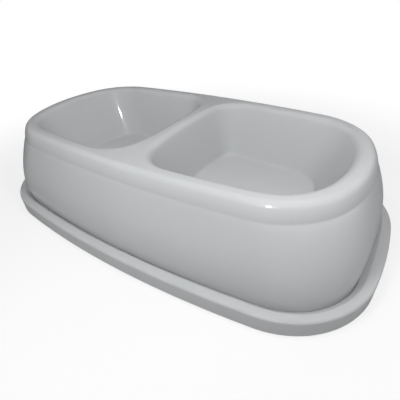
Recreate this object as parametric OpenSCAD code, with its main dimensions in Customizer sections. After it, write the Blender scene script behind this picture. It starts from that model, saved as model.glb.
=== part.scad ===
// Double pet bowl: a one-piece double-walled bowl body on a flanged base tray with rubber feet.
// Lengths are in millimetres. +Z is up, and the origin is on the floor under the middle.

/* [Base flange] */
// Length of the flange, end to end
flange_l = 380; // [350:1:420]
// Width of the flange, front to back
flange_w = 218.8; // [212:0.2:235]
// Radius of the flange's four corners in plan
flange_corner_r = 73.6; // [60:0.2:85]
// Radius of the bowed ends of the flange in plan
flange_end_r = 336; // [260:1:420]
// Radius of the bowed long sides of the flange in plan
flange_side_r = 925; // [750:5:1300]
// Height of the flange above its own bottom edge
flange_h = 14.6; // [12:0.2:17]
// Radius of the flange's outer top edge
flange_edge_r = 2.2; // [0.4:0.1:2.4]
// Width of the flange's top at the ends
flange_end_w = 7.9; // [6.5:0.1:9]
// Width of the flange's top along the sides
flange_side_w = 7.4; // [6:0.1:9]
// Width, at the ends, of the slope from the flange's top down into the groove round the bowl's foot
slope_end_w = 4.3; // [2:0.1:5.4]
// Width of that slope along the sides
slope_side_w = 3.3; // [2:0.1:4.4]
// Height of that slope
slope_h = 3; // [1.5:0.1:3.8]
// Gap between the groove's outer wall and the bowl's foot
groove_gap = 0.3; // [0.1:0.1:1]
// Depth of the groove below the flange's top
groove_depth = 5; // [4:0.1:7]

/* [Bowl body] */
// Height of the rim above the flange's bottom edge
body_h = 85.3; // [80:0.1:96]
// Length of the collar's foot, end to end
rim_l = 334.2; // [315:0.2:345]
// Width of the collar's foot, front to back
rim_w = 174.2; // [164:0.2:182]
// Radius of the collar's four corners in plan
rim_corner_r = 62.6; // [54:0.2:70]
// Radius of the collar's bowed ends in plan
rim_end_r = 116.6; // [102:0.2:180]
// Radius of the collar's bowed long sides in plan
rim_side_r = 976.6; // [750:0.2:1400]
// Height of the collar, from the moulded step up to the rim
collar_h = 12.3; // [9:0.1:20]
// Angle between the collar's face and the vertical, just under the shoulder
collar_top_lean = 28; // [20:1:36]
// Angle between the collar's face and the vertical, at the step
collar_foot_lean = 10; // [2:1:16]
// How far the skirt steps out from the collar
step_out = 0.2; // [0:0.1:1.5]
// How far the skirt's side bulges between its foot and the step
skirt_bulge = 3.8; // [1:0.1:5]
// Radius of the skirt's four corners in plan, at its foot
foot_corner_r = 59.4; // [54:0.2:64]
// Radius of the skirt's bowed ends in plan, at its foot
foot_end_r = 540; // [400:5:700]
// Radius of the skirt's bowed long sides in plan, at its foot
foot_side_r = 940; // [750:10:1300]
// Radius of the rim's outer shoulder
shoulder_r = 6.5; // [4:0.1:8]
// Thickness of the moulded walls
wall = 2.8; // [2:0.1:3.4]

/* [Wells] */
// Distance in plan from the collar's foot to a well's mouth
land_w = 18.2; // [16:0.1:20]
// Width of the bridge between the two mouths, at its narrowest
bridge_w = 14.8; // [13.4:0.1:18]
// Radius of the bowed bridge side of a mouth in plan
bridge_r = 350; // [250:5:600]
// Radius of a mouth's two inner corners in plan
inner_corner_r = 28.5; // [25:0.5:36]
// How much the inner corners tighten on their way down to the floor
inner_corner_tighten = 18; // [10:0.5:20]
// Radius of the mouth's rolled lip
lip_r = 6.5; // [4:0.1:7.2]
// Height of the wells' floors above the flange's bottom edge
well_floor_h = 32.6; // [30:0.1:40]
// Radius of the fillet round a well's floor
fillet_r = 5; // [3:0.5:8]
// How far a well's end wall leans in on its way down
end_lean = 19.2; // [10:0.1:22]
// How far a well's side walls lean in on their way down
side_lean = 11.3; // [4:0.1:14]
// How far a well's bridge wall leans in on its way down
bridge_lean = 8; // [3:0.1:11]

/* [Base tray] */
// Thickness of the tray's floor and walls
tray_t = 2.4; // [1.8:0.1:2.8]
// Gap from the table up to the tray's floor
tray_lift = 3.5; // [3:0.1:4.5]
// Height of the locating rib above the groove's floor
rib_h = 5; // [3:0.1:8]
// Clearance between the locating rib and the body's skirt
fit_gap = 0.3; // [0.2:0.05:0.5]
// Thickness of the tray's stiffening ribs and of the bosses' webs
web_t = 1.8; // [1.2:0.1:2.4]

/* [Screws] */
// Outer diameter of the screw thread
thread_d = 4; // [3:0.1:4.5]
// Diameter of the screw head
head_d = 7.6; // [6.5:0.1:9]
// Height of the screw head
head_h = 2.6; // [1.8:0.1:3]
// Length of the screw under its head
screw_l = 16; // [12:0.5:18]
// Wall round a screw's boss and round its pocket in the tray
boss_wall = 2.5; // [2:0.1:3]
// Distance from a screw's centre to the edge of the flat floor above it
screw_inset = 22.4; // [16:0.2:28]

/* [Rubber feet] */
// Diameter of a foot's pad
foot_d = 22; // [16:0.5:26]
// How far the feet lift the flange off the table
foot_proud = 1.5; // [1:0.1:2.4]
// Diameter of the stem that holds a foot in the tray
stem_d = 5; // [4:0.1:6]
// Distance from a foot's centre to the end wall of the tray's floor
foot_from_end = 43; // [36:1:60]
// Distance from a foot's centre to the side wall of the tray's floor
foot_from_side = 34; // [28:1:44]

/* [Hidden] */

// Facets in each stretch of the outline, and in each small curve of a section
end_steps = 6;
corner_steps = 11;
side_steps = 7;
inner_steps = 8;
bridge_steps = 4;
lip_steps = 4;
collar_steps = 3;
fillet_steps = 4;
circle_steps = 48;
overrun = 1;

// The bulge lies low on the skirt: this share of it moves from the upper half to the lower
bulge_drop_share = 0.43;
// The edge between the flange's top and the groove's slope is cut by this share of the slope
slope_edge_share = 0.12;

// How deep a screw's head sits in its pocket, and the play round the head and the shank
head_recess = 0.4;
hole_gap = 0.2;
// Bosses: play round the thread, spare depth past the tip, and the webs' reach and drop
bore_gap = 0.05;
bore_spare = 2;
boss_r = thread_d / 2 + boss_wall;
web_reach = 6;
web_drop = 12;
// The tray's stiffening ribs stop this far under the bosses' ends
stiffener_gap = 0.6;
// Screw thread, tip and cross recess
thread_pitch = 1.8;
thread_depth = 0.55;
tip_l = 2.4;
drive_w = 1;
drive_l = 4.4;
drive_depth = 1.5;
head_round = 0.8;

// Rubber feet: edge chamfer, the tray's collar round the pad, and the barb on the stem
foot_edge = 0.6;
collar_wall = 1.8;
collar_gap = 0.3;
barb_over = 1.3;
barb_lip = 0.6;
barb_h = 3;

// Levels above the table
flange_bottom = foot_proud;
flange_top = flange_bottom + flange_h;
groove_floor = flange_top - groove_depth;
rim_z = flange_bottom + body_h;
step_z = rim_z - collar_h;
well_floor = flange_bottom + well_floor_h;
tray_top = tray_lift + tray_t;
head_seat = tray_lift + head_h + head_recess;
pad_top = head_seat + tray_t;

// The collar's section is a wide arc from its foot up to the shoulder's tighter arc
collar_drop = collar_h - shoulder_r * (1 - sin(collar_top_lean));
collar_r = collar_drop / (sin(collar_top_lean) - sin(collar_foot_lean));
collar_run = collar_r * (cos(collar_foot_lean) - cos(collar_top_lean));
shoulder_in = collar_run + shoulder_r * cos(collar_top_lean);

// Plan outlines are [half length, half width, corner radius, end radius, side radius]
flange_plan = [flange_l / 2, flange_w / 2, flange_corner_r, flange_end_r, flange_side_r];
rim_plan = [rim_l / 2, rim_w / 2, rim_corner_r, rim_end_r, rim_side_r];
foot_plan = [flange_l / 2 - flange_end_w - slope_end_w - groove_gap,
             flange_w / 2 - flange_side_w - slope_side_w - groove_gap,
             foot_corner_r, foot_end_r, foot_side_r];
groove_plan = grow(foot_plan, groove_gap);
slope_run = [slope_end_w, slope_side_w, (slope_end_w + slope_side_w) / 2, slope_end_w, slope_side_w];
mouth_plan = grow(rim_plan, -land_w);
rib_plan = grow(foot_plan, -wall - fit_gap);

// Screws under each well's floor: two beside the bridge and one towards the end
near_screw_x = bridge_w / 2 + bridge_lean + fillet_r + screw_inset;
near_screw_y = mouth_plan[1] - side_lean - fillet_r - screw_inset;
far_screw_x = mouth_plan[0] - end_lean - fillet_r - screw_inset;
screw_places = [for (s = [-1, 1])
    each [[s * near_screw_x, near_screw_y], [s * near_screw_x, -near_screw_y], [s * far_screw_x, 0]]];

// The feet stand in the corners of the tray's floor
foot_x = rib_plan[0] - foot_from_end;
foot_y = rib_plan[1] - foot_from_side;

plastic = "#bfc2c4";
tray_plastic = "#b6b9bb";

// An outline moved outwards by d: every arc keeps its centre
function grow(plan, d) = [for (v = plan) v + d];

function polar(c, r, t) = [c.x + r * cos(t), c.y + r * sin(t)];

// The point at distance ra from a and rb from b, on the left of the line from a to b
function meet(a, ra, b, rb) =
    let (d = norm(b - a), u = (b - a) / d, along = (ra * ra - rb * rb + d * d) / (2 * d))
    a + along * u + sqrt(ra * ra - along * along) * [-u.y, u.x];

function end_centre(plan) = [plan[0] - plan[3], 0];
function side_centre(plan) = [0, plan[1] - plan[4]];
function corner_centre(plan) =
    meet(end_centre(plan), plan[3] - plan[2], side_centre(plan), plan[4] - plan[2]);

function arc(c, r, t0, t1, steps) = [for (i = [0:steps - 1]) polar(c, r, t0 + (t1 - t0) * i / steps)];
function bearing(from, to) = atan2(to.y - from.y, to.x - from.x);

// End arc, corner arc and side arc from the +X end round to the bearing last on the side
function shore(plan, last) =
    let (e = end_centre(plan), s = side_centre(plan), c = corner_centre(plan))
    let (t_end = bearing(e, c), t_side = bearing(s, c))
    concat(arc(e, plan[3], 0, t_end, end_steps),
           arc(c, plan[2], t_end, t_side, corner_steps),
           arc(s, plan[4], t_side, last, side_steps));

quarter = end_steps + corner_steps + side_steps;
round_trip = 4 * quarter;

// The whole outline, anticlockwise from the +X end
function outline(plan) =
    let (q = concat(shore(plan, 90), [[0, plan[1]]]))
    [for (i = [0:round_trip - 1])
        let (turn = floor(i / quarter), j = i % quarter, p = turn % 2 == 0 ? q[j] : q[quarter - j])
        [turn == 0 || turn == 3 ? p.x : -p.x, turn < 2 ? p.y : -p.y]];

inner_run = inner_steps + bridge_steps;
well_half = quarter + inner_run;
well_trip = 2 * well_half;

// A well's outline: as the plan on the outside, then an inner corner and the bowed bridge side.
// It lies at the share depth of the leaning walls' way down, moved inwards by another d.
function well_outline(depth, d) =
    let (end_in = end_lean * depth + d, side_in = side_lean * depth + d, bridge_in = bridge_lean * depth + d)
    let (plan = mouth_plan - [end_in, side_in, (end_in + side_in) / 2, end_in, side_in])
    let (inner_r = inner_corner_r - inner_corner_tighten * depth - d, bow_r = bridge_r - bridge_in)
    let (x_in = bridge_w / 2 + bridge_in, s = side_centre(plan), b = [x_in + bow_r, 0])
    let (c = meet(s, plan[4] - inner_r, b, bow_r - inner_r))
    let (t_side = bearing(s, c), t_bow = bearing(b, c))
    let (half = concat(shore(plan, t_side), arc(c, inner_r, t_side, t_bow, inner_steps),
                       arc(b, bow_r, t_bow, 180, bridge_steps), [[x_in, 0]]))
    [for (i = [0:well_trip - 1]) i <= well_half ? half[i] : [half[well_trip - i].x, -half[well_trip - i].y]];

function lift(points, z) = [for (p = points) [p.x, p.y, z]];
function mirrored(points) = [for (p = points) [-p.x, p.y, p.z]];

// Triangles between two loops of point numbers, a above or inside b
function band(a, b) =
    let (n = len(a))
    [for (i = [0:n - 1]) each [[a[i], a[(i + 1) % n], b[(i + 1) % n]], [a[i], b[(i + 1) % n], b[i]]]];
// A flat lid of crosswise strips, facing down on an anticlockwise loop
function lid(a) =
    let (n = len(a), h = n / 2)
    concat([[a[0], a[1], a[n - 1]]],
           [for (i = [1:h - 2]) each [[a[i], a[i + 1], a[n - i - 1]], [a[i], a[n - i - 1], a[n - i]]]],
           [[a[h - 1], a[h], a[h + 1]]]);
function flipped(faces) = [for (f = faces) [f[2], f[1], f[0]]];
function numbers(first, count) = [for (i = [0:count - 1]) first + i];

// Skirt between its foot (share 0) and the step (share 1)
function skirt_z(share) = flange_top + (step_z - flange_top) * share;
function bulge(share) = skirt_bulge * 4 * share * (1 - share) * (1 + bulge_drop_share * (1 - 2 * share));
function skirt_plan(share) =
    grow(foot_plan + (rim_plan - foot_plan) * share, step_out * share + bulge(share));
skirt_shares = [0.985, 0.94, 0.86, 0.75, 0.63, 0.51, 0.39, 0.28, 0.18, 0.08, 0];
inner_shares = [0, 0.1, 0.3, 0.5, 0.75, 0.97];

// Rows [plan, z] of the shoulder's arc and of the collar's arc, whose normals rise at that lean
function shoulder_row(lean, r) =
    [grow(rim_plan, r * cos(lean) - shoulder_in), rim_z - shoulder_r + r * sin(lean)];
function collar_row(lean, r) =
    [grow(rim_plan, r * cos(lean) - collar_r * cos(collar_foot_lean)),
     step_z - collar_r * sin(collar_foot_lean) + r * sin(lean)];

// Rows of the body's skin, from the land's edge down the outside and up the inside
shoulder_rows = [for (i = [lip_steps:-1:0])
    shoulder_row(collar_top_lean + (90 - collar_top_lean) * i / lip_steps, shoulder_r)];
collar_rows = [for (i = [1:collar_steps])
    collar_row(collar_top_lean + (collar_foot_lean - collar_top_lean) * i / collar_steps, collar_r)];
outer_rows = concat(shoulder_rows, collar_rows, [for (s = skirt_shares) [skirt_plan(s), skirt_z(s)]],
                    [[skirt_plan(0), groove_floor]]);
inner_rows = concat([[grow(skirt_plan(0), -wall), groove_floor]],
                    [for (s = inner_shares) [grow(skirt_plan(s), -wall), skirt_z(s)]],
                    [collar_row(collar_foot_lean, collar_r - wall)],
                    [for (i = [0:2]) shoulder_row(collar_top_lean + (90 - collar_top_lean) * i / 2,
                                                  shoulder_r - wall)]);
body_rows = concat(outer_rows, inner_rows);

// The walls' mean angle from the vertical
wall_angle = atan2((end_lean + side_lean + bridge_lean) / 3, rim_z - lip_r - well_floor - fillet_r);

// Rows of a well as [depth share, move inwards, z]: the lip's arc, then the fillet's down to the floor
function lip_row(r, t) = [0, r * sin(t) - lip_r, rim_z - lip_r + r * cos(t)];
function fillet_row(r, t) = [1, fillet_r - r * cos(t), well_floor + fillet_r - r * sin(t)];
function lip_rows(r) = [for (i = [0:lip_steps]) lip_row(r, (90 - wall_angle) * i / lip_steps)];
function fillet_rows(r) =
    [for (i = [0:fillet_steps]) fillet_row(r, wall_angle + (90 - wall_angle) * i / fillet_steps)];
well_rows = concat(lip_rows(lip_r), fillet_rows(fillet_r));
cup_rows = concat(lip_rows(lip_r - wall), fillet_rows(fillet_r + wall));

// The bowl body: skirt, collar and land, with both wells hanging inside, as one skin
module body_skin() {
    top_loop = 0;
    under_loop = (len(body_rows) - 1) * round_trip;
    top_mid = len(body_rows) * round_trip;
    mid_count = 2 * inner_run - 1;
    under_mid = top_mid + mid_count;
    wells_first = under_mid + mid_count;
    well_count = len(well_rows) * well_trip;
    cup_count = len(cup_rows) * well_trip;
    shared = well_outline(well_rows[0][0], well_rows[0][1]);
    // Points along the middle of the bridge, in step with a well's inner side
    mid_share = [for (i = [1:mid_count]) shared[quarter + i].y / shared[quarter].y];
    function mid_line(plan, z) = [for (m = mid_share) [0, plan[1] * m, z]];
    right_wells = [for (r = well_rows) each lift(well_outline(r[0], r[1]), r[2])];
    right_cups = [for (r = cup_rows) each lift(well_outline(r[0], r[1]), r[2])];
    points = concat([for (r = body_rows) each lift(outline(r[0]), r[1])],
                    mid_line(outer_rows[0][0], rim_z),
                    mid_line(body_rows[len(body_rows) - 1][0], rim_z - wall),
                    right_wells, right_cups, mirrored(right_wells), mirrored(right_cups));
    // The half of a loop on the side s of the bridge, closed along the bridge's middle
    function half_loop(first, mid, s) =
        let (place = function (i) first + (s > 0 ? i : (2 * quarter - i + round_trip) % round_trip))
        concat([for (i = [0:quarter]) place(i)], numbers(mid, mid_count),
               [for (i = [3 * quarter:round_trip - 1]) place(i)]);
    function well_faces(s) =
        let (first = wells_first + (s > 0 ? 0 : well_count + cup_count), cup_first = first + well_count)
        let (deck = half_loop(top_loop, top_mid, s), under = half_loop(under_loop, under_mid, s))
        let (rows = [for (i = [0:len(well_rows) - 1]) numbers(first + i * well_trip, well_trip)])
        let (cups = [for (i = [0:len(cup_rows) - 1]) numbers(cup_first + i * well_trip, well_trip)])
        concat(band(rows[0], deck), [for (i = [1:len(rows) - 1]) each band(rows[i], rows[i - 1])],
               flipped(lid(rows[len(rows) - 1])),
               band(under, cups[0]), [for (i = [1:len(cups) - 1]) each band(cups[i - 1], cups[i])],
               lid(cups[len(cups) - 1]));
    skin = [for (i = [1:len(body_rows) - 1])
        each band(numbers((i - 1) * round_trip, round_trip), numbers(i * round_trip, round_trip))];
    polyhedron(points, concat(skin, well_faces(1), flipped(well_faces(-1))));
}

module at_screws() {
    for (p = screw_places) translate([p.x, p.y, 0]) children();
}

// A boss with four webs, hanging from the underside of a well's floor
module boss() {
    root = well_floor - wall;
    translate([0, 0, pad_top]) cylinder(h = root + wall / 2 - pad_top, r = boss_r, $fn = circle_steps);
    for (turn = [45:90:315])
        rotate([0, 0, turn])
            translate([0, web_t / 2, root])
                rotate([90, 0, 0])
                    linear_extrude(web_t)
                        polygon([[0, wall / 2], [boss_r + web_reach, wall / 2], [boss_r + web_reach, 0],
                                 [boss_r, -web_drop], [0, -web_drop]]);
}

module bowl_body() {
    color(plastic) difference() {
        union() {
            body_skin();
            at_screws() boss();
        }
        at_screws() translate([0, 0, pad_top - overrun])
            cylinder(h = head_seat + screw_l + bore_spare - pad_top + overrun,
                     r = thread_d / 2 + bore_gap, $fn = circle_steps);
    }
}

// Rows of the tray's skin as [plan, z], from the floor's underside out round the flange and back in
edge_rows = [for (i = [0:lip_steps])
    let (t = 90 * i / lip_steps)
    [grow(flange_plan, -flange_edge_r * (1 - cos(t))), flange_top - flange_edge_r * (1 - sin(t))]];
tray_rows = concat(
    [[rib_plan, tray_lift], [rib_plan, groove_floor - tray_t],
     [grow(groove_plan, tray_t), groove_floor - tray_t],
     [grow(groove_plan, tray_t), flange_top - slope_h - tray_t / 2],
     [grow(groove_plan + slope_run, tray_t / 2), flange_top - tray_t],
     [grow(flange_plan, -tray_t), flange_top - tray_t],
     [grow(flange_plan, -tray_t), flange_bottom], [flange_plan, flange_bottom]],
    edge_rows,
    [[groove_plan + slope_run * (1 + slope_edge_share), flange_top],
     [groove_plan + slope_run * (1 - slope_edge_share), flange_top - slope_h * slope_edge_share],
     [groove_plan, flange_top - slope_h],
     [groove_plan, groove_floor], [rib_plan, groove_floor],
     [rib_plan, groove_floor + rib_h], [grow(rib_plan, -tray_t), groove_floor + rib_h],
     [grow(rib_plan, -tray_t), tray_top]]);

module tray_skin() {
    loops = [for (i = [0:len(tray_rows) - 1]) numbers(i * round_trip, round_trip)];
    polyhedron([for (r = tray_rows) each lift(outline(r[0]), r[1])],
               concat(lid(loops[0]), [for (i = [1:len(loops) - 1]) each band(loops[i], loops[i - 1])],
                      flipped(lid(loops[len(loops) - 1]))));
}

module at_feet() {
    for (sx = [-1, 1], sy = [-1, 1]) translate([sx * foot_x, sy * foot_y, 0]) children();
}

// Ribs on the tray's floor, through the rows of screw pads and from wall to wall
module stiffeners() {
    h = pad_top - stiffener_gap - tray_lift - tray_t / 2;
    translate([0, 0, tray_lift + tray_t / 2]) intersection() {
        linear_extrude(h) polygon(outline(grow(rib_plan, -tray_t / 2)));
        union() {
            for (y = [-near_screw_y, near_screw_y])
                translate([-flange_l / 2, y - web_t / 2, 0]) cube([flange_l, web_t, h]);
            for (x = [-far_screw_x, -near_screw_x, near_screw_x, far_screw_x])
                translate([x - web_t / 2, -flange_w / 2, 0]) cube([web_t, flange_w, h]);
        }
    }
}

module base_tray() {
    pocket_r = head_d / 2 + hole_gap;
    color(tray_plastic) difference() {
        union() {
            tray_skin();
            stiffeners();
            at_screws() translate([0, 0, tray_lift + tray_t / 2])
                cylinder(h = pad_top - tray_lift - tray_t / 2, r = pocket_r + boss_wall, $fn = circle_steps);
            at_feet() translate([0, 0, foot_proud])
                cylinder(h = tray_lift + tray_t / 2 - foot_proud, r = foot_d / 2 + collar_gap + collar_wall,
                         $fn = circle_steps);
        }
        at_screws() {
            translate([0, 0, tray_lift - overrun])
                cylinder(h = head_seat - tray_lift + overrun, r = pocket_r, $fn = circle_steps);
            translate([0, 0, head_seat - overrun])
                cylinder(h = tray_t + 2 * overrun, r = thread_d / 2 + hole_gap, $fn = circle_steps);
        }
        at_feet() {
            translate([0, 0, foot_proud - overrun])
                cylinder(h = tray_lift - foot_proud + overrun, r = foot_d / 2 + collar_gap,
                         $fn = circle_steps);
            translate([0, 0, tray_lift - overrun])
                cylinder(h = tray_t + 2 * overrun, r = (stem_d + hole_gap) / 2, $fn = circle_steps);
        }
    }
}

// A pan-head screw with its head down, its thread drawn as rings
module screw() {
    root_r = thread_d / 2 - thread_depth;
    head_r = head_d / 2;
    turns = floor((screw_l - tip_l) / thread_pitch);
    thread = [for (i = [0:turns - 1]) each [[root_r, i * thread_pitch + thread_pitch / 4],
                                            [thread_d / 2, (i + 1 / 2) * thread_pitch],
                                            [root_r, (i + 3 / 4) * thread_pitch]]];
    difference() {
        rotate_extrude($fn = circle_steps)
            polygon(concat([[0, -head_h], [head_r - head_round, -head_h], [head_r, head_round - head_h],
                            [head_r, 0], [root_r, 0]],
                           thread, [[root_r, screw_l - tip_l], [0, screw_l]]));
        for (turn = [0, 90])
            rotate([0, 0, turn]) translate([-drive_l / 2, -drive_w / 2, -head_h - overrun])
                cube([drive_l, drive_w, drive_depth + overrun]);
    }
}

module fixing_screws() {
    color("#a9abad") at_screws() translate([0, 0, head_seat]) screw();
}

// A rubber foot: a round pad under the tray, with a stem and a barb above its floor
module foot(sx, sy) {
    r = foot_d / 2;
    s = stem_d / 2;
    color("#4a4c4e") translate([sx * foot_x, sy * foot_y, 0])
        rotate_extrude($fn = circle_steps)
            polygon([[0, 0], [r - foot_edge, 0], [r, foot_edge], [r, tray_lift], [s, tray_lift],
                     [s, tray_top], [s + barb_over, tray_top], [s + barb_over, tray_top + barb_lip],
                     [s, tray_top + barb_h], [0, tray_top + barb_h]]);
}

bowl_body();
base_tray();
fixing_screws();
foot(-1, -1);  // foot_front_left
foot(1, -1);  // foot_front_right
foot(-1, 1);  // foot_rear_left
foot(1, 1);  // foot_rear_right
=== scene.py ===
import math

import bpy
import numpy as np
from mathutils import Matrix, Vector


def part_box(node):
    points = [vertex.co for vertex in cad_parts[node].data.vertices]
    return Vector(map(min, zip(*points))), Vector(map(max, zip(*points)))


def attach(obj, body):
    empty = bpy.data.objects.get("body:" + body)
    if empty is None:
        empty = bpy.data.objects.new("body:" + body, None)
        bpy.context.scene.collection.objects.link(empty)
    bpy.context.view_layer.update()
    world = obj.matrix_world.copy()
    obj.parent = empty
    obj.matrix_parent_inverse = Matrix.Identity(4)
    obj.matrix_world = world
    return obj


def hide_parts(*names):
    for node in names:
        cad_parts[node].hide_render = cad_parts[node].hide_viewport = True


# Double pet bowl: a glossy moulded body in a flanged tray. Lengths are in metres, and +Z is up.
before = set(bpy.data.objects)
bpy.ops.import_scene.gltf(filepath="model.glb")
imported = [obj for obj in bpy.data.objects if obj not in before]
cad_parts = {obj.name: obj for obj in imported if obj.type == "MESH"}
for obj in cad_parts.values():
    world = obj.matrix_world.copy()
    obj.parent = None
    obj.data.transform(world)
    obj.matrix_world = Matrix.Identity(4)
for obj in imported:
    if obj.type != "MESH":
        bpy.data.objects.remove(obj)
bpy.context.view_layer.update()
tray_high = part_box("base_tray")[1]
body_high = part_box("bowl_body")[1]
foot_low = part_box("foot_front_right")[0]

PHOTO_SIDE = 400
SENSOR_WIDTH = 36
FOCAL_PIXELS = 313.66
CAMERA_PLACE = (0.1685, -0.2155, 0.1965)
CAMERA_AIM = (0.0254, -0.0096, 0.015)
CAMERA_ROLL = math.radians(-3.6)

# Plans are half length, half width, corner radius, end radius and side radius
FLANGE_PLAN = np.array([tray_high.x, tray_high.y, 0.0736, 0.336, 0.925])
RIM_PLAN = np.array([0.1671, 0.0871, 0.0626, 0.1166, 0.9766])
FLANGE_END_TOP = 0.0079
FLANGE_SIDE_TOP = 0.0074
SLOPE_END_WIDTH = 0.0043
SLOPE_SIDE_WIDTH = 0.0033
SLOPE_HEIGHT = 0.003
SLOPE_EDGE_SHARE = 0.12
GROOVE_GAP = 0.0003
FOOT_PLAN = np.array([FLANGE_PLAN[0] - FLANGE_END_TOP - SLOPE_END_WIDTH - GROOVE_GAP,
                      FLANGE_PLAN[1] - FLANGE_SIDE_TOP - SLOPE_SIDE_WIDTH - GROOVE_GAP, 0.0594, 0.54, 0.94])
GROOVE_PLAN = FOOT_PLAN + GROOVE_GAP
SLOPE_MEAN_WIDTH = (SLOPE_END_WIDTH + SLOPE_SIDE_WIDTH) / 2
SLOPE_PLAN = GROOVE_PLAN + np.array([SLOPE_END_WIDTH, SLOPE_SIDE_WIDTH, SLOPE_MEAN_WIDTH,
                                     SLOPE_END_WIDTH, SLOPE_SIDE_WIDTH])

GROOVE_DEPTH = 0.005
FOOT_STAND_OUT = 0.0015
FLANGE_TOP = tray_high.z
FLANGE_BOTTOM = foot_low.z + FOOT_STAND_OUT
GROOVE_FLOOR = FLANGE_TOP - GROOVE_DEPTH
RIM_Z = body_high.z
COLLAR_HEIGHT = 0.0123
STEP_SOFTNESS = 0.0008
STEP_Z = RIM_Z - COLLAR_HEIGHT
WALL = 0.0028

# The collar's section: a tight shoulder, then a wide arc between two leans from the vertical
SHOULDER_RADIUS = 0.0065
COLLAR_TOP_LEAN = math.radians(28)
COLLAR_FOOT_LEAN = math.radians(10)
COLLAR_DROP = COLLAR_HEIGHT - SHOULDER_RADIUS * (1 - math.sin(COLLAR_TOP_LEAN))
COLLAR_RADIUS = COLLAR_DROP / (math.sin(COLLAR_TOP_LEAN) - math.sin(COLLAR_FOOT_LEAN))
COLLAR_RUN = COLLAR_RADIUS * (math.cos(COLLAR_FOOT_LEAN) - math.cos(COLLAR_TOP_LEAN))
SHOULDER_IN = COLLAR_RUN + SHOULDER_RADIUS * math.cos(COLLAR_TOP_LEAN)

STEP_OUT = 0.0002
SKIRT_BULGE = 0.0038
BULGE_DROP_SHARE = 0.43

LAND_WIDTH = 0.0182
MOUTH_PLAN = RIM_PLAN - LAND_WIDTH
BRIDGE_WIDTH = 0.0148
BRIDGE_RADIUS = 0.35
INNER_CORNER_RADIUS = 0.0285
INNER_CORNER_TIGHTENING = 0.018
LIP_RADIUS = 0.0065
WELL_DEPTH = 0.0527
WELL_FLOOR = RIM_Z - WELL_DEPTH
FILLET_RADIUS = 0.005
# How far the end wall, the side walls and the bridge wall lean in on their way down
WALL_LEANS = np.array([0.0192, 0.0113, 0.008])
WALL_ANGLE = math.atan2(WALL_LEANS.mean(), RIM_Z - LIP_RADIUS - WELL_FLOOR - FILLET_RADIUS)

TRAY_THICKNESS = 0.0024
TRAY_LIFT = 0.0035
RIB_HEIGHT = 0.005
FIT_GAP = 0.0003
RIB_PLAN = FOOT_PLAN - WALL - FIT_GAP
FLANGE_EDGE_RADIUS = 0.0022
SMALL_EDGE_RADIUS = 0.0005

# Screws in the tray's pockets and the bowl's bosses, and the feet with their stems and collars
SCREW_INSET = 0.0224
THREAD_DIAMETER = 0.004
HEAD_DIAMETER = 0.0076
HEAD_HEIGHT = 0.0026
HEAD_RECESS = 0.0004
SCREW_LENGTH = 0.016
HOLE_GAP = 0.0002
BORE_GAP = 0.00005
BORE_SPARE = 0.002
BOSS_WALL = 0.0025
WEB_THICKNESS = 0.0018
WEB_REACH = 0.006
WEB_DROP = 0.012
STIFFENER_GAP = 0.0006
FOOT_DIAMETER = 0.022
STEM_DIAMETER = 0.005
FOOT_COLLAR_WALL = 0.0018
FOOT_COLLAR_GAP = 0.0003
FOOT_FROM_END = 0.043
FOOT_FROM_SIDE = 0.034
OVERRUN = 0.001
SMALL_ROUND = 0.0006

TRAY_TOP = TRAY_LIFT + TRAY_THICKNESS
HEAD_SEAT = TRAY_LIFT + HEAD_HEIGHT + HEAD_RECESS
PAD_TOP = HEAD_SEAT + TRAY_THICKNESS
POCKET_RADIUS = HEAD_DIAMETER / 2 + HOLE_GAP
BOSS_RADIUS = THREAD_DIAMETER / 2 + BOSS_WALL
BOSS_ROOT = WELL_FLOOR - WALL
NEAR_SCREW = (BRIDGE_WIDTH / 2 + WALL_LEANS[2] + FILLET_RADIUS + SCREW_INSET,
              MOUTH_PLAN[1] - WALL_LEANS[1] - FILLET_RADIUS - SCREW_INSET)
FAR_SCREW_X = MOUTH_PLAN[0] - WALL_LEANS[0] - FILLET_RADIUS - SCREW_INSET
FOOT_PLACE = (RIB_PLAN[0] - FOOT_FROM_END, RIB_PLAN[1] - FOOT_FROM_SIDE)

# Steps along each stretch of an outline and round each small curve
END_STEPS = 20
CORNER_STEPS = 36
SIDE_STEPS = 24
INNER_STEPS = 24
BOW_STEPS = 12
CURVE_STEPS = 10
SKIRT_STEPS = 40
STEP_STEPS = 6
SLOPE_STEPS = 6
WELL_WALL_STEPS = 12
CUP_WALL_STEPS = 6
CIRCLE_STEPS = 72
# The skirt's rows crowd towards its foot by this power, and its inner face and the land need only a few
SKIRT_CROWDING = 1.5
INNER_SKIRT_SHARES = (0, 0.1, 0.2, 0.35, 0.5, 0.65, 0.8, 0.97)
LAND_SHARES = (0.08, 0.3, 0.7, 0.92)
INNER_SHOULDER_LEANS = (COLLAR_TOP_LEAN, math.radians(60), math.pi / 2)

QUARTER = END_STEPS + CORNER_STEPS + SIDE_STEPS
ROUND_TRIP = 4 * QUARTER
INNER_RUN = INNER_STEPS + BOW_STEPS


# Outlines in plan

def polar(centre, radius, angles):
    angles = np.atleast_1d(angles)
    return np.stack([centre[0] + radius * np.cos(angles), centre[1] + radius * np.sin(angles)], axis=1)


def meet(a, from_a, b, from_b):
    """The point at those distances from a and b, on the left of the line from a to b."""
    apart = np.linalg.norm(b - a)
    along = (from_a ** 2 - from_b ** 2 + apart ** 2) / (2 * apart)
    u = (b - a) / apart
    return a + along * u + math.sqrt(from_a ** 2 - along ** 2) * np.array([-u[1], u[0]])


def bearing(start, end):
    return math.atan2(end[1] - start[1], end[0] - start[0])


def arc(centre, radius, start, stop, steps):
    return polar(centre, radius, start + (stop - start) * np.arange(steps) / steps)


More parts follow.
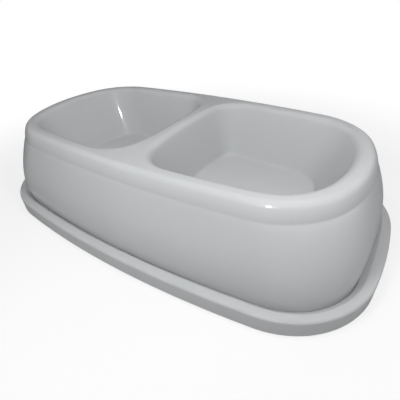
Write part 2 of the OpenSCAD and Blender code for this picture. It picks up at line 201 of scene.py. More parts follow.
def shore(plan, last):
    """End arc, corner arc and side arc, from the +X end round to the bearing last on the side."""
    end = np.array([plan[0] - plan[3], 0.0])
    side = np.array([0.0, plan[1] - plan[4]])
    corner = meet(end, plan[3] - plan[2], side, plan[4] - plan[2])
    at_end, at_side = bearing(end, corner), bearing(side, corner)
    return np.vstack([arc(end, plan[3], 0, at_end, END_STEPS),
                      arc(corner, plan[2], at_end, at_side, CORNER_STEPS),
                      arc(side, plan[4], at_side, last, SIDE_STEPS)])


def outline(plan):
    """The whole outline, anticlockwise from the +X end."""
    first = np.vstack([shore(plan, math.pi / 2), [[0.0, plan[1]]]])
    second = first[:0:-1] * [-1, 1]
    half = np.vstack([first[:-1], second])
    return np.vstack([half, -half])


def well_outline(depth, inwards):
    """The right well's outline at a depth share of its leaning walls, moved inwards by so much more."""
    end_in, side_in, bridge_in = WALL_LEANS * depth + inwards
    mean = (end_in + side_in) / 2
    plan = MOUTH_PLAN - np.array([end_in, side_in, mean, end_in, side_in])
    inner_radius = INNER_CORNER_RADIUS - INNER_CORNER_TIGHTENING * depth - inwards
    bow_radius = BRIDGE_RADIUS - bridge_in
    inner_x = BRIDGE_WIDTH / 2 + bridge_in
    side = np.array([0.0, plan[1] - plan[4]])
    bow = np.array([inner_x + bow_radius, 0.0])
    corner = meet(side, plan[4] - inner_radius, bow, bow_radius - inner_radius)
    at_side, at_bow = bearing(side, corner), bearing(bow, corner)
    half = np.vstack([shore(plan, at_side),
                      arc(corner, inner_radius, at_side, at_bow, INNER_STEPS),
                      arc(bow, bow_radius, at_bow, math.pi, BOW_STEPS), [[inner_x, 0.0]]])
    return np.vstack([half, half[-2:0:-1] * [1, -1]])


# Rows of a section: each is a plan and a height, or a well's depth share, its inward move and a height

def quarter_turn(steps):
    return [math.pi / 2 * i / steps for i in range(steps + 1)]


def skirt_row(share, inwards=0.0):
    bulge = SKIRT_BULGE * 4 * share * (1 - share) * (1 + BULGE_DROP_SHARE * (1 - 2 * share))
    plan = FOOT_PLAN + (RIM_PLAN - FOOT_PLAN) * share + STEP_OUT * share + bulge - inwards
    return np.append(plan, FLANGE_TOP + (STEP_Z - FLANGE_TOP) * share)


def soften(rows, corner, reach, steps):
    """Rows with the kink at the row numbered corner drawn round, over that reach in height each way."""
    middle = rows[corner]
    before = [r for r in rows[:corner] if r[-1] > middle[-1] + reach]
    after = [r for r in rows[corner + 1:] if r[-1] < middle[-1] - reach]

    def between(a, b, z):
        share = (z - a[-1]) / (b[-1] - a[-1])
        return a + (b - a) * share

    upper = next(between(rows[i], rows[i + 1], middle[-1] + reach) for i in range(corner - 1, -1, -1)
                 if rows[i][-1] >= middle[-1] + reach)
    lower = next(between(rows[i - 1], rows[i], middle[-1] - reach) for i in range(corner + 1, len(rows))
                 if rows[i][-1] <= middle[-1] - reach)
    bend = []
    for i in range(steps + 1):
        t = i / steps
        bend.append((1 - t) ** 2 * upper + 2 * t * (1 - t) * middle + t ** 2 * lower)
    return before + bend + after


def shoulder_row(lean, radius):
    """A row of the shoulder's arc, whose normal stands at lean above the horizontal."""
    return np.append(RIM_PLAN - SHOULDER_IN + radius * math.cos(lean),
                     RIM_Z - SHOULDER_RADIUS + radius * math.sin(lean))


def collar_row(lean, radius):
    """A row of the collar's wide arc."""
    centre_in = COLLAR_RADIUS * math.cos(COLLAR_FOOT_LEAN)
    centre_z = STEP_Z - COLLAR_RADIUS * math.sin(COLLAR_FOOT_LEAN)
    return np.append(RIM_PLAN - centre_in + radius * math.cos(lean), centre_z + radius * math.sin(lean))


def outer_rows():
    """From the land's edge over the shoulder, down the collar and down the skirt."""
    shoulder = [shoulder_row(lean, SHOULDER_RADIUS)
                for lean in np.linspace(math.pi / 2, COLLAR_TOP_LEAN, CURVE_STEPS + 1)]
    collar = [collar_row(lean, COLLAR_RADIUS)
              for lean in np.linspace(COLLAR_TOP_LEAN, COLLAR_FOOT_LEAN, CURVE_STEPS + 1)[1:]]
    skirt = [skirt_row((1 - i / SKIRT_STEPS) ** SKIRT_CROWDING) for i in range(SKIRT_STEPS + 1)]
    rows = shoulder + collar + skirt[1:]
    return soften(rows, len(shoulder) + len(collar) - 1, STEP_SOFTNESS, STEP_STEPS)


def lip_rows(radius):
    return [(0.0, radius * math.sin(t) - LIP_RADIUS, RIM_Z - LIP_RADIUS + radius * math.cos(t))
            for t in np.linspace(0, math.pi / 2 - WALL_ANGLE, CURVE_STEPS)]


def fillet_rows(radius):
    return [(1.0, FILLET_RADIUS - radius * math.cos(t), WELL_FLOOR + FILLET_RADIUS - radius * math.sin(t))
            for t in np.linspace(WALL_ANGLE, math.pi / 2, CURVE_STEPS + 2)]


def well_rows():
    """From the lip's top down the wall and round the fillet to the floor."""
    lip, fillet = lip_rows(LIP_RADIUS), fillet_rows(FILLET_RADIUS)
    return lip + between_rows(lip[-1], fillet[0], WELL_WALL_STEPS) + fillet


def between_rows(first, last, steps):
    start, whole = np.array(first), np.array(last) - np.array(first)
    return [tuple(start + whole * i / steps) for i in range(1, steps)]


# Meshes

class Shell:
    """Points and faces of one closed piece, built loop by loop."""

    def __init__(self):
        self.points = []
        self.faces = []

    def loop(self, plan_points, z):
        heights = np.full(len(plan_points), z)
        return self.place(np.column_stack([plan_points, heights]))

    def place(self, points):
        first = len(self.points)
        self.points.extend(points.tolist())
        return list(range(first, len(self.points)))

    def band(self, upper, lower):
        """Faces between two anticlockwise loops, facing out where upper lies above or inside lower."""
        for i in range(len(upper)):
            j = (i + 1) % len(upper)
            self.faces.append((upper[i], lower[i], lower[j], upper[j]))

    def bands(self, loops):
        for upper, lower in zip(loops, loops[1:]):
            self.band(upper, lower)

    def lid(self, loop, facing_up, rings=8):
        """Closes a loop with shrinking rings round its middle."""
        edge = np.array([self.points[i] for i in loop])
        middle = edge.mean(axis=0)
        previous = loop
        for ring in range(1, rings):
            share = 1 - ring / rings
            current = self.place(middle + (edge - middle) * share)
            self.band(*((current, previous) if facing_up else (previous, current)))
            previous = current
        centre = self.place(middle[None])[0]
        for i in range(len(previous)):
            pair = (previous[i], previous[(i + 1) % len(previous)])
            self.faces.append((*pair, centre) if facing_up else (*reversed(pair), centre))

    def mesh(self, name, sharp_degrees=32):
        made = bpy.data.meshes.new(name)
        made.from_pydata(self.points, [], self.faces)
        made.validate()
        made.shade_smooth()
        made.set_sharp_from_angle(angle=math.radians(sharp_degrees))
        piece = bpy.data.objects.new(name, made)
        bpy.context.scene.collection.objects.link(piece)
        return piece


def mirrored(points):
    return points * np.array([-1, 1, 1])


def bowl_shell():
    shell = Shell()
    outside = outer_rows()
    inside = [skirt_row(share, WALL) for share in INNER_SKIRT_SHARES]
    foot = [np.append(outside[-1][:-1], GROOVE_FLOOR), np.append(inside[0][:-1], GROOVE_FLOOR)]
    collar = [collar_row(COLLAR_FOOT_LEAN, COLLAR_RADIUS - WALL)]
    collar += [shoulder_row(lean, SHOULDER_RADIUS - WALL) for lean in INNER_SHOULDER_LEANS]
    rows = outside + foot + inside + collar
    loops = [shell.loop(outline(row[:-1]), row[-1]) for row in rows]
    shell.bands(loops)
    mouth = well_outline(*well_rows()[0][:2])
    along = mouth[QUARTER + 1:QUARTER + 2 * INNER_RUN, 1] / mouth[QUARTER, 1]
    deck_mid = shell.place(np.column_stack([0 * along, rows[0][1] * along, RIM_Z + 0 * along]))
    under_mid = shell.place(np.column_stack([0 * along, rows[-1][1] * along, RIM_Z - WALL + 0 * along]))

    def half_loop(loop, middle, side):
        """The half of a loop on one side of the bridge, closed along the bridge's middle."""
        def at(i):
            return loop[i if side > 0 else (2 * QUARTER - i) % ROUND_TRIP]
        first, last = range(QUARTER + 1), range(3 * QUARTER, ROUND_TRIP)
        return [at(i) for i in first] + middle + [at(i) for i in last]

    def well(side):
        def lay(plan_points, z):
            points = np.column_stack([plan_points, np.full(len(plan_points), z)])
            return shell.place(points if side > 0 else mirrored(points))

        deck = half_loop(loops[0], deck_mid, side)
        under = half_loop(loops[-1], under_mid, side)
        deck_points = np.array([shell.points[i] for i in deck])
        well_loops = [lay(well_outline(depth, inwards), z) for depth, inwards, z in well_rows()]
        mouth_points = np.array([shell.points[i] for i in well_loops[0]])
        land = [shell.place(deck_points + (mouth_points - deck_points) * share) for share in LAND_SHARES]
        cup_lip, cup_fillet = lip_rows(LIP_RADIUS - WALL), fillet_rows(FILLET_RADIUS + WALL)
        cup_rows = cup_lip + between_rows(cup_lip[-1], cup_fillet[0], CUP_WALL_STEPS) + cup_fillet
        cup_loops = [lay(well_outline(depth, inwards), z) for depth, inwards, z in cup_rows]
        start = len(shell.faces)
        shell.bands(list(reversed([deck] + land + well_loops)))
        shell.lid(well_loops[-1], facing_up=True)
        shell.bands([under] + cup_loops)
        shell.lid(cup_loops[-1], facing_up=False)
        if side < 0:
            shell.faces[start:] = [tuple(reversed(face)) for face in shell.faces[start:]]

    well(1)
    well(-1)
    return shell.mesh("bowl_shell")


def tray_shell():
    shell = Shell()
    outer = FLANGE_PLAN
    edge = [np.append(outer - FLANGE_EDGE_RADIUS * (1 - math.cos(t)),
                      FLANGE_TOP - FLANGE_EDGE_RADIUS * (1 - math.sin(t)))
            for t in quarter_turn(CURVE_STEPS)]
    slope_top = np.append(SLOPE_PLAN, FLANGE_TOP)
    slope_foot = np.append(GROOVE_PLAN, FLANGE_TOP - SLOPE_HEIGHT)
    onto_top = np.append(SLOPE_PLAN + (SLOPE_PLAN - GROOVE_PLAN) * SLOPE_EDGE_SHARE, FLANGE_TOP)
    onto_slope = slope_top + (slope_foot - slope_top) * SLOPE_EDGE_SHARE
    slope = [(1 - t) ** 2 * onto_top + 2 * t * (1 - t) * slope_top + t ** 2 * onto_slope
             for t in np.linspace(0, 1, SLOPE_STEPS)] + [slope_foot]
    foot_edge = [np.append(outer - SMALL_EDGE_RADIUS * (1 - math.cos(t)),
                           FLANGE_BOTTOM + SMALL_EDGE_RADIUS * (1 - math.sin(t)))
                 for t in reversed(quarter_turn(CURVE_STEPS // 2))]
    rows = [np.append(RIB_PLAN, TRAY_LIFT), np.append(RIB_PLAN, GROOVE_FLOOR - TRAY_THICKNESS),
            np.append(GROOVE_PLAN + TRAY_THICKNESS, GROOVE_FLOOR - TRAY_THICKNESS),
            np.append(GROOVE_PLAN + TRAY_THICKNESS, FLANGE_TOP - SLOPE_HEIGHT - TRAY_THICKNESS / 2),
            np.append(SLOPE_PLAN + TRAY_THICKNESS / 2, FLANGE_TOP - TRAY_THICKNESS),
            np.append(outer - TRAY_THICKNESS, FLANGE_TOP - TRAY_THICKNESS),
            np.append(outer - TRAY_THICKNESS, FLANGE_BOTTOM)]
    rows += foot_edge + edge + slope
    rows += [np.append(GROOVE_PLAN, GROOVE_FLOOR), np.append(RIB_PLAN, GROOVE_FLOOR),
             np.append(RIB_PLAN, GROOVE_FLOOR + RIB_HEIGHT),
             np.append(RIB_PLAN - TRAY_THICKNESS, GROOVE_FLOOR + RIB_HEIGHT),
             np.append(RIB_PLAN - TRAY_THICKNESS, TRAY_LIFT + TRAY_THICKNESS)]
    loops = [shell.loop(outline(row[:-1]), row[-1]) for row in rows]
    shell.bands(list(reversed(loops)))
    shell.lid(loops[0], facing_up=False)
    shell.lid(loops[-1], facing_up=True)
    return shell.mesh("tray_shell")


# Small parts, set out by Geometry Nodes and joined to a shell or cut from it

def turned(name, profile):
    """A solid of revolution about the z axis, from its profile of radius and height up the outside."""
    shell = Shell()
    angles = np.arange(CIRCLE_STEPS) * 2 * math.pi / CIRCLE_STEPS
    circle = np.column_stack([np.cos(angles), np.sin(angles)])
    loops = [shell.loop(circle * radius, z) for radius, z in profile]
    shell.bands(list(reversed(loops)))
    shell.lid(loops[0], facing_up=False, rings=2)
    shell.lid(loops[-1], facing_up=True, rings=2)
    return shell.mesh(name)


def plate(shell, corners, low_z, high_z):
    """A flat plate on a convex anticlockwise outline."""
    low, high = shell.loop(np.array(corners), low_z), shell.loop(np.array(corners), high_z)
    shell.band(high, low)
    shell.faces += [tuple(reversed(low)), tuple(high)]


def pattern_tree():
    """Repeats a piece at the four corners of a rectangle, and at two places on the x axis if asked."""
    tree = bpy.data.node_groups.new("pattern", "GeometryNodeTree")
    sockets = (("Geometry", "Geometry"), ("Corner X", "Float"), ("Corner Y", "Float"), ("End X", "Float"),
               ("With Ends", "Bool"), ("Material", "Material"))
    for name, kind in sockets:
        tree.interface.new_socket(name=name, in_out="INPUT", socket_type="NodeSocket" + kind)
    tree.interface.new_socket(name="Geometry", in_out="OUTPUT", socket_type="NodeSocketGeometry")
    given = tree.nodes.new("NodeGroupInput").outputs

    def times(socket, factor):
        return add(tree, "ShaderNodeMath", {0: socket, 1: factor}, operation="MULTIPLY").outputs[0]

    corners = add(tree, "GeometryNodeMeshGrid",
                  {"Size X": times(given["Corner X"], 2), "Size Y": times(given["Corner Y"], 2),
                   "Vertices X": 2, "Vertices Y": 2})
    start = add(tree, "ShaderNodeCombineXYZ", {"X": times(given["End X"], -1)})
    step = add(tree, "ShaderNodeCombineXYZ", {"X": times(given["End X"], 2)})
    ends = add(tree, "GeometryNodeMeshLine",
               {"Count": 2, "Start Location": start.outputs[0], "Offset": step.outputs[0]})
    if_asked = add(tree, "GeometryNodeSwitch", {"Switch": given["With Ends"], "True": ends.outputs["Mesh"]},
                   input_type="GEOMETRY")
    places = add(tree, "GeometryNodeJoinGeometry")
    tree.links.new(corners.outputs["Mesh"], places.inputs[0])
    tree.links.new(if_asked.outputs[0], places.inputs[0])
    placed = add(tree, "GeometryNodeInstanceOnPoints",
                 {"Points": places.outputs[0], "Instance": given["Geometry"]})
    whole = add(tree, "GeometryNodeRealizeInstances", {"Geometry": placed.outputs["Instances"]})
    dressed = add(tree, "GeometryNodeSetMaterial",
                  {"Geometry": whole.outputs[0], "Material": given["Material"]})
    add(tree, "NodeGroupOutput", {"Geometry": dressed.outputs[0]})
    return tree


def bake(piece):
    """The piece's modifiers turned into a plain mesh."""
    old = piece.data
    made = bpy.data.meshes.new_from_object(piece.evaluated_get(bpy.context.evaluated_depsgraph_get()))
    piece.modifiers.clear()
    piece.data = made
    bpy.data.meshes.remove(old)
    return piece


def set_out(piece, tree, corner, material, end=None):
    """The piece repeated at the four corners, and at the two ends where end is given."""
    values = {"Corner X": corner[0], "Corner Y": corner[1], "Material": material,
              "End X": end or 0.0, "With Ends": end is not None}
    modifier = piece.modifiers.new("pattern", "NODES")
    modifier.node_group = tree
    for socket in tree.interface.items_tree:
        if socket.in_out == "INPUT" and socket.name in values:
            modifier[socket.identifier] = values[socket.name]
    return bake(piece)


def combine(piece, tool, operation):
    """Joins the tool to the piece or cuts it out, and takes the tool away."""
    modifier = piece.modifiers.new("combine", "BOOLEAN")
    modifier.object, modifier.operation, modifier.solver = tool, operation, "MANIFOLD"
    bake(piece)
    bpy.data.objects.remove(tool)


def stiffeners():
    """Ribs on the tray's floor, through the rows of screw pads and from wall to wall."""
    wall = outline(RIB_PLAN - TRAY_THICKNESS / 2)[:QUARTER + 1]
    half = WEB_THICKNESS / 2
    low, high = TRAY_LIFT + TRAY_THICKNESS / 2, PAD_TOP - STIFFENER_GAP
    ribs = []
    for y in (-NEAR_SCREW[1], NEAR_SCREW[1]):
        reach = np.interp(abs(y) + half, wall[:, 1], wall[:, 0])
        ribs.append([(-reach, y - half), (reach, y - half), (reach, y + half), (-reach, y + half)])
    for x in (-FAR_SCREW_X, -NEAR_SCREW[0], NEAR_SCREW[0], FAR_SCREW_X):
        reach = np.interp(abs(x) + half, wall[::-1, 0], wall[::-1, 1])
        ribs.append([(x - half, -reach), (x + half, -reach), (x + half, reach), (x - half, reach)])
    made = []
    for number, corners in enumerate(ribs):
        shell = Shell()
        plate(shell, corners, low, high)
        made.append(shell.mesh(f"rib {number}"))
    return made


def finish_tray(tray, tree, material):
    """The tray's ribs, screw pads with their pockets, and foot collars with their stem holes."""
    for rib in stiffeners():
        combine(tray, rib, "UNION")
    pad_radius, collar_radius = POCKET_RADIUS + BOSS_WALL, FOOT_DIAMETER / 2 + FOOT_COLLAR_GAP
    inside = TRAY_LIFT + TRAY_THICKNESS / 2
    pad = turned("pad", [(pad_radius, inside), (pad_radius, PAD_TOP - SMALL_ROUND),
                         (pad_radius - SMALL_ROUND, PAD_TOP)])
    combine(tray, set_out(pad, tree, NEAR_SCREW, material, FAR_SCREW_X), "UNION")
    outer = collar_radius + FOOT_COLLAR_WALL
    collar = turned("foot collar", [(outer - SMALL_ROUND, FLANGE_BOTTOM),
                                    (outer, FLANGE_BOTTOM + SMALL_ROUND), (outer, inside)])
    combine(tray, set_out(collar, tree, FOOT_PLACE, material), "UNION")
    shank = THREAD_DIAMETER / 2 + HOLE_GAP
    entry = POCKET_RADIUS + SMALL_ROUND
    pocket = turned("pocket", [(entry, TRAY_LIFT - OVERRUN), (entry, TRAY_LIFT),
                               (POCKET_RADIUS, TRAY_LIFT + SMALL_ROUND), (POCKET_RADIUS, HEAD_SEAT),
                               (shank, HEAD_SEAT), (shank, PAD_TOP + OVERRUN)])
    combine(tray, set_out(pocket, tree, NEAR_SCREW, material, FAR_SCREW_X), "DIFFERENCE")
    stem = (STEM_DIAMETER + HOLE_GAP) / 2
    socket = turned("foot socket", [(collar_radius, FLANGE_BOTTOM - OVERRUN), (collar_radius, TRAY_LIFT),
                                    (stem, TRAY_LIFT), (stem, TRAY_TOP + OVERRUN)])
    combine(tray, set_out(socket, tree, FOOT_PLACE, material), "DIFFERENCE")


def finish_bowl(bowl, tree, material):
    """Six screw bosses with their webs under the wells' floors."""
    sunk = BOSS_ROOT + WALL / 2
    boss = turned("boss", [(BOSS_RADIUS, PAD_TOP), (BOSS_RADIUS, sunk)])
    combine(bowl, set_out(boss, tree, NEAR_SCREW, material, FAR_SCREW_X), "UNION")
    far = BOSS_RADIUS + WEB_REACH
    section = [(-far, 0), (-BOSS_RADIUS, -WEB_DROP), (BOSS_RADIUS, -WEB_DROP), (far, 0),
               (far, WALL / 2), (-far, WALL / 2)]
    for turn in (math.pi / 4, -math.pi / 4):
        along = np.array([math.cos(turn), math.sin(turn)])
        across = np.array([-math.sin(turn), math.cos(turn)])
        shell = Shell()
        sides = []
        for offset in (-WEB_THICKNESS / 2, WEB_THICKNESS / 2):
            points = [[*(along * reach + across * offset), BOSS_ROOT + drop] for reach, drop in section]
            sides.append(shell.place(np.array(points)))
        front, back = sides
        shell.faces += [tuple(front), tuple(reversed(back))]
        for i in range(len(front)):
            j = (i + 1) % len(front)
            shell.faces.append((front[j], front[i], back[i], back[j]))
        web = shell.mesh("web")
        combine(bowl, set_out(web, tree, NEAR_SCREW, material, FAR_SCREW_X), "UNION")
    bore_radius = THREAD_DIAMETER / 2 + BORE_GAP
    bore_end = HEAD_SEAT + SCREW_LENGTH + BORE_SPARE
    bore = turned("bore", [(bore_radius, PAD_TOP - OVERRUN), (bore_radius, bore_end)])
    combine(bowl, set_out(bore, tree, NEAR_SCREW, material, FAR_SCREW_X), "DIFFERENCE")


# Materials

def add(tree, kind, inputs=None, **settings):
    """A node with its settings, and its inputs given as values or as sockets to link."""
    made = tree.nodes.new(kind)
    for name, value in settings.items():
        setattr(made, name, value)
    for name, value in (inputs or {}).items():
        if isinstance(value, bpy.types.NodeSocket):
            tree.links.new(value, made.inputs[name])
        else:
            made.inputs[name].default_value = value
    return made


def group(name, inputs, outputs):
    """An empty shader node group with those sockets."""
    tree = bpy.data.node_groups.new(name, "ShaderNodeTree")
    for socket, kind, value in inputs:
        made = tree.interface.new_socket(name=socket, in_out="INPUT", socket_type=kind)
        if value is not None:
            made.default_value = value
    for socket, kind in outputs:
        tree.interface.new_socket(name=socket, in_out="OUTPUT", socket_type=kind)
    return tree, tree.nodes.new("NodeGroupInput"), tree.nodes.new("NodeGroupOutput")


def moulded_skin_group():
    """Orange peel and slow mottling of a moulded plastic surface."""
    tree, given, out = group("moulded skin",
                             [("Vector", "NodeSocketVector", None),
                              ("Peel Scale", "NodeSocketFloat", 420.0),
                              ("Mottle Scale", "NodeSocketFloat", 14.0)],
                             [("Peel", "NodeSocketFloat"), ("Mottle", "NodeSocketFloat")])
    place = given.outputs["Vector"]
    peel = add(tree, "ShaderNodeTexNoise",
               {"Vector": place, "Scale": given.outputs["Peel Scale"], "Detail": 2.0, "Roughness": 0.5})
    mottle = add(tree, "ShaderNodeTexNoise",
                 {"Vector": place, "Scale": given.outputs["Mottle Scale"], "Detail": 4.0, "Roughness": 0.6})
    tree.links.new(peel.outputs["Fac"], out.inputs["Peel"])
    tree.links.new(mottle.outputs["Fac"], out.inputs["Mottle"])
    return tree


def scuff_group():
    """Faint hair scratches, kept in a few places, and dull rubbed patches."""
    tree, given, out = group("scuffs",
                             [("Vector", "NodeSocketVector", None),
                              ("Scratch Scale", "NodeSocketFloat", 60.0),
                              ("Patch Scale", "NodeSocketFloat", 18.0)],
                             [("Scratches", "NodeSocketFloat"), ("Rubbed", "NodeSocketFloat")])
    place = given.outputs["Vector"]
    patch = add(tree, "ShaderNodeTexNoise",
                {"Vector": place, "Scale": given.outputs["Patch Scale"], "Detail": 5.0, "Roughness": 0.65})
    rubbed = add(tree, "ShaderNodeMapRange",
                 {"Value": patch.outputs["Fac"], "From Min": 0.52, "From Max": 0.78})
    cells = add(tree, "ShaderNodeTexVoronoi",
                {"Vector": place, "Scale": given.outputs["Scratch Scale"]}, feature="DISTANCE_TO_EDGE")
    line = add(tree, "ShaderNodeMapRange",
               {"Value": cells.outputs["Distance"], "From Min": 0.006, "From Max": 0.0})
    seldom = add(tree, "ShaderNodeTexNoise", {"Vector": place, "Scale": 45.0, "Detail": 1.0})
    kept = add(tree, "ShaderNodeMapRange",
               {"Value": seldom.outputs["Fac"], "From Min": 0.58, "From Max": 0.66})
    scratches = add(tree, "ShaderNodeMath", {0: line.outputs["Result"], 1: kept.outputs["Result"]},
                    operation="MULTIPLY")
    tree.links.new(scratches.outputs["Value"], out.inputs["Scratches"])
    tree.links.new(rubbed.outputs["Result"], out.inputs["Rubbed"])
    return tree


def use_group(tree, made, vector, **values):
    node = add(tree, "ShaderNodeGroup", node_tree=made)
    tree.links.new(vector, node.inputs["Vector"])
    for name, value in values.items():
        node.inputs[name.replace("_", " ").title()].default_value = value
    return node


def new_material(name):
    made = bpy.data.materials.new(name)
    made.use_nodes = True
    made.node_tree.nodes.clear()
    return made, made.node_tree


def shade(colour, factor):
    """That colour made lighter or darker, with its alpha."""
    return (*[min(1, c * factor) for c in colour], 1)


def glossy_plastic(name, colour, roughness, skin, scuffs):
    """Moulded plastic with orange peel, mottling, scratches and rubbed patches under a clear gloss."""
    made, tree = new_material(name)
    place = add(tree, "ShaderNodeTexCoord").outputs["Object"]
    peel = use_group(tree, skin, place)
    wear = use_group(tree, scuffs, place)
    tint = add(tree, "ShaderNodeMix", {"Factor": peel.outputs["Mottle"]}, data_type="RGBA")
    tint.inputs["A"].default_value = shade(colour, 0.97)
    tint.inputs["B"].default_value = shade(colour, 1.03)
    pale = add(tree, "ShaderNodeMix", {"Factor": wear.outputs["Scratches"]}, data_type="RGBA")
    tree.links.new(tint.outputs["Result"], pale.inputs["A"])
    pale.inputs["B"].default_value = shade(colour, 1.03)
    dull = add(tree, "ShaderNodeMath", {0: wear.outputs["Rubbed"], 1: 0.10, 2: roughness},
               operation="MULTIPLY_ADD")
    height = add(tree, "ShaderNodeMath", {0: wear.outputs["Scratches"], 1: -0.03, 2: peel.outputs["Peel"]},
                 operation="MULTIPLY_ADD")
    bump = add(tree, "ShaderNodeBump",
               {"Height": height.outputs["Value"], "Strength": 0.08, "Distance": 0.0003})
    shader = add(tree, "ShaderNodeBsdfPrincipled",
                 {"Base Color": pale.outputs["Result"], "Roughness": dull.outputs["Value"],
                  "Normal": bump.outputs["Normal"], "IOR": 1.5, "Specular IOR Level": 0.15,
                  "Coat Weight": 0.5, "Coat Roughness": 0.04})
    add(tree, "ShaderNodeOutputMaterial", {"Surface": shader.outputs["BSDF"]})
    return made


def rubber(name, colour, skin):
    """Dull rubber with a fine grain."""
    made, tree = new_material(name)
    place = add(tree, "ShaderNodeTexCoord").outputs["Object"]
    peel = use_group(tree, skin, place, peel_scale=900.0, mottle_scale=60.0)
    tint = add(tree, "ShaderNodeMix", {"Factor": peel.outputs["Mottle"]}, data_type="RGBA")
    tint.inputs["A"].default_value = shade(colour, 0.8)
    tint.inputs["B"].default_value = shade(colour, 1.3)
    bump = add(tree, "ShaderNodeBump",
               {"Height": peel.outputs["Peel"], "Strength": 0.4, "Distance": 0.0002})
    shader = add(tree, "ShaderNodeBsdfPrincipled",
                 {"Base Color": tint.outputs["Result"], "Roughness": 0.75,
                  "Normal": bump.outputs["Normal"]})
    add(tree, "ShaderNodeOutputMaterial", {"Surface": shader.outputs["BSDF"]})
    return made


def plated_steel(name, colour, skin):
    """Zinc plated steel with a cloudy shine."""
    made, tree = new_material(name)
    place = add(tree, "ShaderNodeTexCoord").outputs["Object"]
    peel = use_group(tree, skin, place, peel_scale=1500.0, mottle_scale=250.0)
    tint = add(tree, "ShaderNodeMix", {"Factor": peel.outputs["Mottle"]}, data_type="RGBA")
    tint.inputs["A"].default_value = shade(colour, 0.75)
    tint.inputs["B"].default_value = shade(colour, 1.2)
    rough = add(tree, "ShaderNodeMapRange", {"Value": peel.outputs["Peel"], "To Min": 0.25, "To Max": 0.45})
    shader = add(tree, "ShaderNodeBsdfPrincipled",
                 {"Base Color": tint.outputs["Result"], "Metallic": 1.0,
                  "Roughness": rough.outputs["Result"]})
    add(tree, "ShaderNodeOutputMaterial", {"Surface": shader.outputs["BSDF"]})
    return made


def dress(piece, material):
    """The piece in that one material."""
    piece.data.materials.clear()
    piece.data.materials.append(material)
    piece.data.polygons.foreach_set("material_index", [0] * len(piece.data.polygons))


# Camera, floor and light

def make_camera():
    """The photo's camera."""
    data = bpy.data.cameras.new("camera")
    data.sensor_width = SENSOR_WIDTH
    data.lens = SENSOR_WIDTH * FOCAL_PIXELS / PHOTO_SIDE
    camera = bpy.data.objects.new("camera", data)
    bpy.context.scene.collection.objects.link(camera)
    place, aim = Vector(CAMERA_PLACE), Vector(CAMERA_AIM)
    turn = (aim - place).to_track_quat("-Z", "Y").to_matrix().to_4x4()
    camera.matrix_world = Matrix.Translation(place) @ turn @ Matrix.Rotation(CAMERA_ROLL, 4, "Z")
    bpy.context.scene.camera = camera


# Mirror rays meet a room that is dark on the left and as bright as the rest on the right
ROOM_DARK_END = -0.55
ROOM_BRIGHT_END = 0.15
ROOM_DARK_SHARE = 0.06


def mirrored_room(tree, place, brightness):
    """That brightness, but for mirror rays less towards the left."""
    across = add(tree, "ShaderNodeSeparateXYZ", {0: place}).outputs["X"]
    dimmed = add(tree, "ShaderNodeMapRange",
                 {"Value": across, "From Min": ROOM_DARK_END, "From Max": ROOM_BRIGHT_END,
                  "To Min": brightness * ROOM_DARK_SHARE, "To Max": brightness},
                 interpolation_type="SMOOTHSTEP").outputs["Result"]
    mirror = add(tree, "ShaderNodeLightPath").outputs["Is Glossy Ray"]
    level = add(tree, "ShaderNodeMix", {"Factor": mirror, "B": dimmed}, data_type="FLOAT")
    level.inputs["A"].default_value = brightness
    return level.outputs["Result"]


# The floor's tone to the camera, its share of plain white under the object, which grows to one
# between two distances from the middle, and its tone to other rays
FLOOR_WHITE = 0.9
FLOOR_GLOW_NEAR = 0.72
GLOW_GROWS_FROM = 0.2
GLOW_GROWS_TO = 0.45
FLOOR_BOUNCE = 0.45
FLOOR_HALF = 3.0


def make_floor():
    """A plain pale floor that keeps the object's shadow."""
    mesh = bpy.data.meshes.new("floor")
    corners = [(x * FLOOR_HALF, y * FLOOR_HALF, 0) for x, y in ((-1, -1), (1, -1), (1, 1), (-1, 1))]
    mesh.from_pydata(corners, [], [(0, 1, 2, 3)])
    floor = bpy.data.objects.new("floor", mesh)
    bpy.context.scene.collection.objects.link(floor)
    made, tree = new_material("pale floor")
    place = add(tree, "ShaderNodeTexCoord").outputs["Object"]
    far = add(tree, "ShaderNodeVectorMath", {0: place}, operation="LENGTH")
    fade = add(tree, "ShaderNodeMapRange",
               {"Value": far.outputs["Value"], "From Min": GLOW_GROWS_FROM, "From Max": GLOW_GROWS_TO,
                "To Min": FLOOR_GLOW_NEAR},
               interpolation_type="SMOOTHSTEP")
    seen = add(tree, "ShaderNodeLightPath").outputs["Is Camera Ray"]
    factor = add(tree, "ShaderNodeMath", {0: fade.outputs["Result"], 1: seen}, operation="MULTIPLY")
    tone = add(tree, "ShaderNodeMix", {"Factor": seen, "A": mirrored_room(tree, place, FLOOR_BOUNCE)},
               data_type="FLOAT")
    tone.inputs["B"].default_value = FLOOR_WHITE
    paint = add(tree, "ShaderNodeBsdfDiffuse", {"Color": tone.outputs["Result"]})
    glow = add(tree, "ShaderNodeEmission", {"Color": (1, 1, 1, 1), "Strength": 1.0})
    mix = add(tree, "ShaderNodeMixShader",
              {0: factor.outputs["Value"], 1: paint.outputs["BSDF"], 2: glow.outputs["Emission"]})
    add(tree, "ShaderNodeOutputMaterial", {"Surface": mix.outputs["Shader"]})
    dress(floor, made)


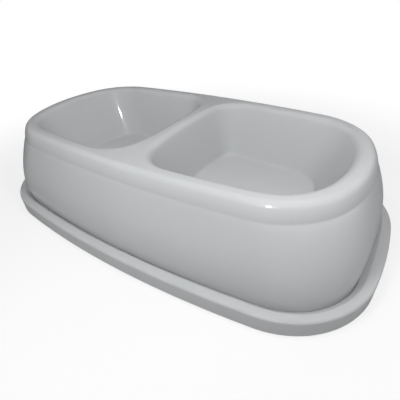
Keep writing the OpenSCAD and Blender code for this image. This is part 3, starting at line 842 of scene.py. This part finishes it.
def make_world(strength):
    """Even light from all round, and plain white behind the object."""
    world = bpy.data.worlds.new("studio")
    bpy.context.scene.world = world
    world.use_nodes = True
    tree = world.node_tree
    tree.nodes.clear()
    seen = add(tree, "ShaderNodeLightPath").outputs["Is Camera Ray"]
    way = add(tree, "ShaderNodeTexCoord").outputs["Generated"]
    room = add(tree, "ShaderNodeBackground",
               {"Color": (1, 1, 1, 1), "Strength": mirrored_room(tree, way, strength)})
    white = add(tree, "ShaderNodeBackground", {"Color": (1, 1, 1, 1), "Strength": 1.0})
    mix = add(tree, "ShaderNodeMixShader",
              {0: seen, 1: room.outputs["Background"], 2: white.outputs["Background"]})
    add(tree, "ShaderNodeOutputWorld", {"Surface": mix.outputs["Shader"]})


def make_lamp(name, place, aim, size, watts, glints_only=False):
    """A round lamp that lights without being mirrored, or one that shows in the gloss alone."""
    data = bpy.data.lights.new(name, "AREA")
    data.shape = "DISK"
    data.size = size
    data.energy = watts
    lamp = bpy.data.objects.new(name, data)
    bpy.context.scene.collection.objects.link(lamp)
    lamp.location = place
    lamp.rotation_mode = "QUATERNION"
    lamp.rotation_quaternion = (Vector(aim) - Vector(place)).to_track_quat("-Z", "Y")
    lamp.visible_glossy = glints_only
    lamp.visible_diffuse = not glints_only


# Light of the whole room, and each lamp's name, place, aim, size and watts
ROOM_LIGHT = 0.305
NEAR_AIM = (0.02, -0.02, 0.06)
LOW_AIM = (0, 0, 0.03)
BACK_AIM = (0, 0, 0.05)
GLINT_LAMP = "glint flash"
LAMPS = (("left flash", (0.02, -0.3, 0.3), NEAR_AIM, 0.05, 0.395),
         ("right flash", (0.25, -0.1, 0.3), NEAR_AIM, 0.05, 0.43),
         ("near flash", (0.02, -0.15, 0.4), NEAR_AIM, 0.05, 0.24),
         (GLINT_LAMP, (0.165, -0.235, 0.235), NEAR_AIM, 0.025, 0.45),
         ("low left lamp", (-0.5, -0.72, 0.13), LOW_AIM, 0.25, 0.75),
         ("low right lamp", (0.8, -0.3, 0.12), LOW_AIM, 0.3, 0.22),
         ("back lamp", (0, 0.8, 0.7), BACK_AIM, 0.5, 1.12))

make_camera()
make_floor()
make_world(ROOM_LIGHT)
for name, place, aim, size, watts in LAMPS:
    make_lamp(name, place, aim, size, watts, glints_only=name == GLINT_LAMP)
bpy.context.scene.view_settings.view_transform = "Standard"

PLASTIC_GREY = (0.52, 0.53, 0.54)
RUBBER_BLACK = (0.07, 0.072, 0.075)
STEEL_GREY = (0.55, 0.55, 0.56)
BOWL_ROUGHNESS = 0.3
TRAY_ROUGHNESS = 0.32

skin = moulded_skin_group()
scuffs = scuff_group()
bowl_plastic = glossy_plastic("bowl plastic", PLASTIC_GREY, BOWL_ROUGHNESS, skin, scuffs)
tray_plastic = glossy_plastic("tray plastic", PLASTIC_GREY, TRAY_ROUGHNESS, skin, scuffs)

pattern = pattern_tree()
bowl = bowl_shell()
finish_bowl(bowl, pattern, bowl_plastic)
dress(bowl, bowl_plastic)
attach(bowl, "root")
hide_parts("bowl_body")

tray = tray_shell()
finish_tray(tray, pattern, tray_plastic)
dress(tray, tray_plastic)
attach(tray, "root")
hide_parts("base_tray")

foot_rubber = rubber("foot rubber", RUBBER_BLACK, skin)
for side in ("front_left", "front_right", "rear_left", "rear_right"):
    dress(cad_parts["foot_" + side], foot_rubber)
dress(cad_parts["fixing_screws"], plated_steel("screw steel", STEEL_GREY, skin))
